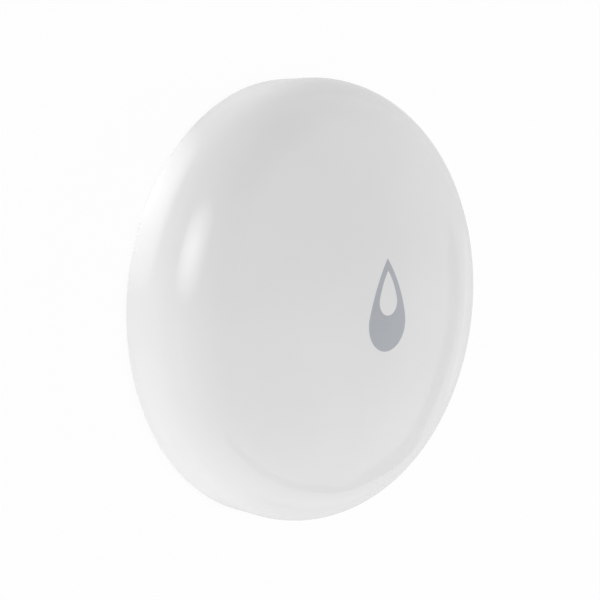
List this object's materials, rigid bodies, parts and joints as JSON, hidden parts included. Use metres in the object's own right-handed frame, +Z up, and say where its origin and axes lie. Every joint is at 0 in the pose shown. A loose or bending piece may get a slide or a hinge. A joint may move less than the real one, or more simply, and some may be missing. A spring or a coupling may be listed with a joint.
{
  "type": "water leak sensor",
  "caption": "Round domed floor sensor with a grey drop figure, metal water probes and a bayonet battery door underneath; a press on the domed cover works its switch.",
  "frame": {"origin": "on the floor under the centre of the body, at the feet's lower faces", "axes": "+Z up out of the domed face, +Y the way the drop figure's point is turned"},
  "size_m": [0.05, 0.05, 0.015],
  "materials": {
    "shell_white": "glossy white moulding with a faint grain",
    "drop_grey": "satin grey inlay",
    "base_white": "white moulding, satin underneath",
    "seal_rubber": "black rubber",
    "cell_steel": "plated sheet",
    "nickel_plate": "nickel plate",
    "moulding_black": "black moulding",
    "board_green": "green solder mask over woven glass",
    "copper": "copper track",
    "ceramic": "fired ceramic",
    "lamp_white": "white reflector cup",
    "probe_steel": "turned stainless steel",
    "brass": "turned brass"
  },
  "bodies": {
    "base": {"base_plate": "base_white", "case_seal": "seal_rubber", "door_seal": "seal_rubber", "cell_can": "cell_steel", "cell_gasket": "moulding_black", "cell_cap": "nickel_plate", "positive_contact": "nickel_plate", "negative_contact": "nickel_plate", "circuit_board": "board_green", "radio_chip": "moulding_black", "crystal": "cell_steel", "antenna": "copper", "chip_capacitors": "ceramic", "chip_resistors": "moulding_black", "indicator_led": "lamp_white", "switch_base": "moulding_black", "switch_cover": "cell_steel", "switch_terminals": "nickel_plate", "probe_screws": "probe_steel", "probe_seals": "seal_rubber", "probe_standoffs": "brass", "board_screws": "probe_steel"},
    "cover": {"front_shell": "shell_white", "drop_symbol": "drop_grey"},
    "plunger": {"switch_plunger": "moulding_black"},
    "door": {"battery_door": "base_white"}
  },
  "joints": [
    {"name": "cover_press", "type": "slide", "parent": "base", "child": "cover", "axis": [0, 0, -1], "range_m": [0, 0.0002], "stiffness_N_per_m": 1000, "springref_m": -0.0001},
    {"name": "plunger_press", "type": "slide", "parent": "base", "child": "plunger", "axis": [0, 0, -1], "range_m": [0, 0.0002]},
    {"name": "door_turn", "type": "hinge", "parent": "base", "child": "door", "pos_m": [0, 0, 0.0015], "axis": [0, 0, -1], "range_deg": [0, 30]}
  ],
  "couplings": [
    {"joint": "plunger_press", "follows": "cover_press", "ratio": 1}
  ]
}
